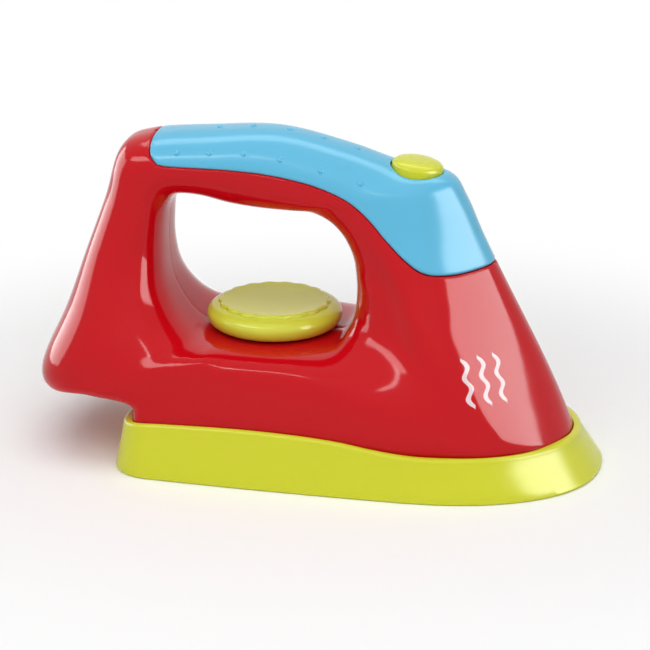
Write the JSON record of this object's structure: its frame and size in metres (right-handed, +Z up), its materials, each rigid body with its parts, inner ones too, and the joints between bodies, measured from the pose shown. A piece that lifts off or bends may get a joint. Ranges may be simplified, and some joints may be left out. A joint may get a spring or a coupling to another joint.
{
  "type": "toy iron",
  "caption": "Pretend-play iron with a moulded two-half body round a finger opening, a grip cover with a sprung spray button, a click dial and a flat sole plate.",
  "frame": {"origin": "middle of the bounding box, on the ironing face of the sole plate", "axes": "+X towards the nose, +Z up from the ironing face, +Y to the iron's left"},
  "size_m": [0.1778, 0.084, 0.1055],
  "materials": {
    "red_plastic": "glossy moulded ABS",
    "blue_plastic": "glossy moulded ABS",
    "lime_plastic": "glossy moulded ABS",
    "olive_plastic": "glossy moulded ABS",
    "white_plastic": "natural acetal",
    "spring_steel": "plain spring steel",
    "zinc_steel": "zinc plated"
  },
  "bodies": {
    "casing": {"shell_right": "red_plastic", "shell_left": "red_plastic", "grip_cover": "blue_plastic", "button_spring": "spring_steel", "click_spring": "spring_steel", "sole_plate": "lime_plastic", "body_screws": "zinc_steel", "handle_screws": "zinc_steel", "sole_screws": "zinc_steel"},
    "button": {"spray_button": "lime_plastic", "button_washer": "zinc_steel", "button_screw": "zinc_steel"},
    "dial": {"dial_knob": "olive_plastic", "click_wheel": "white_plastic", "dial_washer": "zinc_steel", "dial_screw": "zinc_steel"}
  },
  "joints": [
    {"name": "button_press", "type": "slide", "parent": "casing", "child": "button", "axis": [-0.1358, 0, -0.9907], "range_m": [0, 0.0018], "stiffness_N_per_m": 300, "springref_m": -0.002, "deforming": ["button_spring"]},
    {"name": "dial_turn", "type": "hinge", "parent": "casing", "child": "dial", "pos_m": [-0.01584, 0, 0.0403], "axis": [0, 0, 1], "continuous": true, "deforming": ["click_spring"]}
  ]
}
